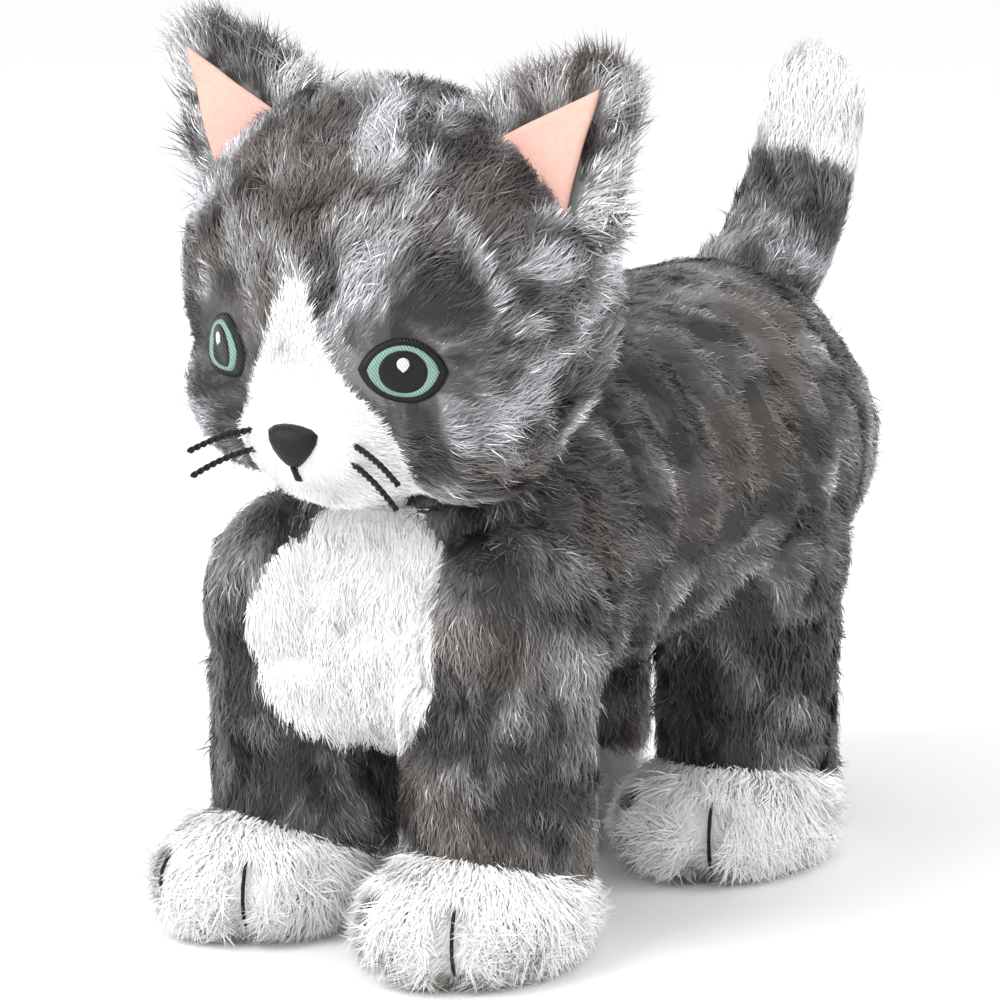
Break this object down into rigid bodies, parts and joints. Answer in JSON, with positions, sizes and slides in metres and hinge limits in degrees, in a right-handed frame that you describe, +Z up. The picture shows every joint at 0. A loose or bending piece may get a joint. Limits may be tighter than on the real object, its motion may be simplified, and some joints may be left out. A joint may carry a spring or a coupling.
{
  "type": "plush cat",
  "caption": "Standing plush kitten in mottled grey and white pile with felt ears and soles, embroidered face, and a turning head, legs, ears and tail.",
  "frame": {"origin": "on the floor, under the middle of the cat's box", "axes": "+Z up; the cat faces -Y; its left side is +X"},
  "size_m": [0.1744, 0.3152, 0.2887],
  "materials": {
    "grey_plush": "long pile plush, mottled grey",
    "white_plush": "long pile plush, white",
    "filling": "loose polyester fibre",
    "pink_felt": "short napped felt",
    "black_thread": "satin stitch thread",
    "green_thread": "satin stitch thread",
    "white_thread": "satin stitch thread",
    "black_cord": "waxed twisted thread"
  },
  "bodies": {
    "torso": {"torso_cover": "grey_plush", "chest_bib": "white_plush", "torso_filling": "filling"},
    "neck": {"neck_filling": "filling"},
    "head": {"head_cover": "grey_plush", "face_panel": "white_plush", "head_filling": "filling", "nose": "black_thread", "mouth_stitch": "black_thread", "eye_left_outline": "black_thread", "eye_left_iris": "green_thread", "eye_left_pupil": "black_thread", "eye_left_glint": "white_thread", "eye_right_outline": "black_thread", "eye_right_iris": "green_thread", "eye_right_pupil": "black_thread", "eye_right_glint": "white_thread", "whisker_left_upper": "black_cord", "whisker_left_lower": "black_cord", "whisker_right_upper": "black_cord", "whisker_right_lower": "black_cord"},
    "ear_left": {"ear_left_cover": "grey_plush", "ear_left_lining": "pink_felt"},
    "ear_right": {"ear_right_cover": "grey_plush", "ear_right_lining": "pink_felt"},
    "tail_root": {"tail_root_filling": "filling"},
    "tail": {"tail_cover": "grey_plush", "tail_tip": "white_plush", "tail_filling": "filling"},
    "leg_front_left": {"leg_front_left_cover": "grey_plush", "leg_front_left_filling": "filling", "paw_front_left_cover": "white_plush", "paw_front_left_sole": "pink_felt", "paw_front_left_stitches": "black_thread"},
    "leg_front_right": {"leg_front_right_cover": "grey_plush", "leg_front_right_filling": "filling", "paw_front_right_cover": "white_plush", "paw_front_right_sole": "pink_felt", "paw_front_right_stitches": "black_thread"},
    "leg_hind_left": {"leg_hind_left_cover": "grey_plush", "leg_hind_left_filling": "filling", "paw_hind_left_cover": "white_plush", "paw_hind_left_sole": "pink_felt", "paw_hind_left_stitches": "black_thread"},
    "leg_hind_right": {"leg_hind_right_cover": "grey_plush", "leg_hind_right_filling": "filling", "paw_hind_right_cover": "white_plush", "paw_hind_right_sole": "pink_felt", "paw_hind_right_stitches": "black_thread"}
  },
  "joints": [
    {"name": "head_turn", "type": "hinge", "parent": "torso", "child": "neck", "pos_m": [0, -0.088, 0.205], "axis": [0, 0, 1], "range_deg": [-12, 12], "stiffness_Nm_per_rad": 0.4},
    {"name": "head_nod", "type": "hinge", "parent": "neck", "child": "head", "pos_m": [0, -0.088, 0.205], "axis": [1, 0, 0], "range_deg": [-10, 3], "stiffness_Nm_per_rad": 0.6},
    {"name": "tail_lift", "type": "hinge", "parent": "torso", "child": "tail_root", "pos_m": [0, 0.099, 0.178], "axis": [1, 0, 0], "range_deg": [-5, 20], "stiffness_Nm_per_rad": 0.12},
    {"name": "tail_swing", "type": "hinge", "parent": "tail_root", "child": "tail", "pos_m": [0, 0.099, 0.178], "axis": [0, 0, 1], "range_deg": [-20, 20], "stiffness_Nm_per_rad": 0.1},
    {"name": "ear_left_fold", "type": "hinge", "parent": "head", "child": "ear_left", "pos_m": [0.053, -0.098, 0.251], "axis": [0.7547, 0, -0.6561], "range_deg": [-20, 20], "stiffness_Nm_per_rad": 0.03},
    {"name": "ear_right_fold", "type": "hinge", "parent": "head", "child": "ear_right", "pos_m": [-0.053, -0.098, 0.251], "axis": [0.7547, 0, 0.6561], "range_deg": [-20, 20], "stiffness_Nm_per_rad": 0.03},
    {"name": "leg_front_left_swing", "type": "hinge", "parent": "torso", "child": "leg_front_left", "pos_m": [0.043, -0.096, 0.104], "axis": [1, 0, 0], "range_deg": [-10, 10], "stiffness_Nm_per_rad": 1.5},
    {"name": "leg_front_right_swing", "type": "hinge", "parent": "torso", "child": "leg_front_right", "pos_m": [-0.043, -0.096, 0.104], "axis": [1, 0, 0], "range_deg": [-10, 10], "stiffness_Nm_per_rad": 1.5},
    {"name": "leg_hind_left_swing", "type": "hinge", "parent": "torso", "child": "leg_hind_left", "pos_m": [0.043, 0.042, 0.104], "axis": [1, 0, 0], "range_deg": [-10, 10], "stiffness_Nm_per_rad": 1.5},
    {"name": "leg_hind_right_swing", "type": "hinge", "parent": "torso", "child": "leg_hind_right", "pos_m": [-0.043, 0.042, 0.104], "axis": [1, 0, 0], "range_deg": [-10, 10], "stiffness_Nm_per_rad": 1.5}
  ]
}
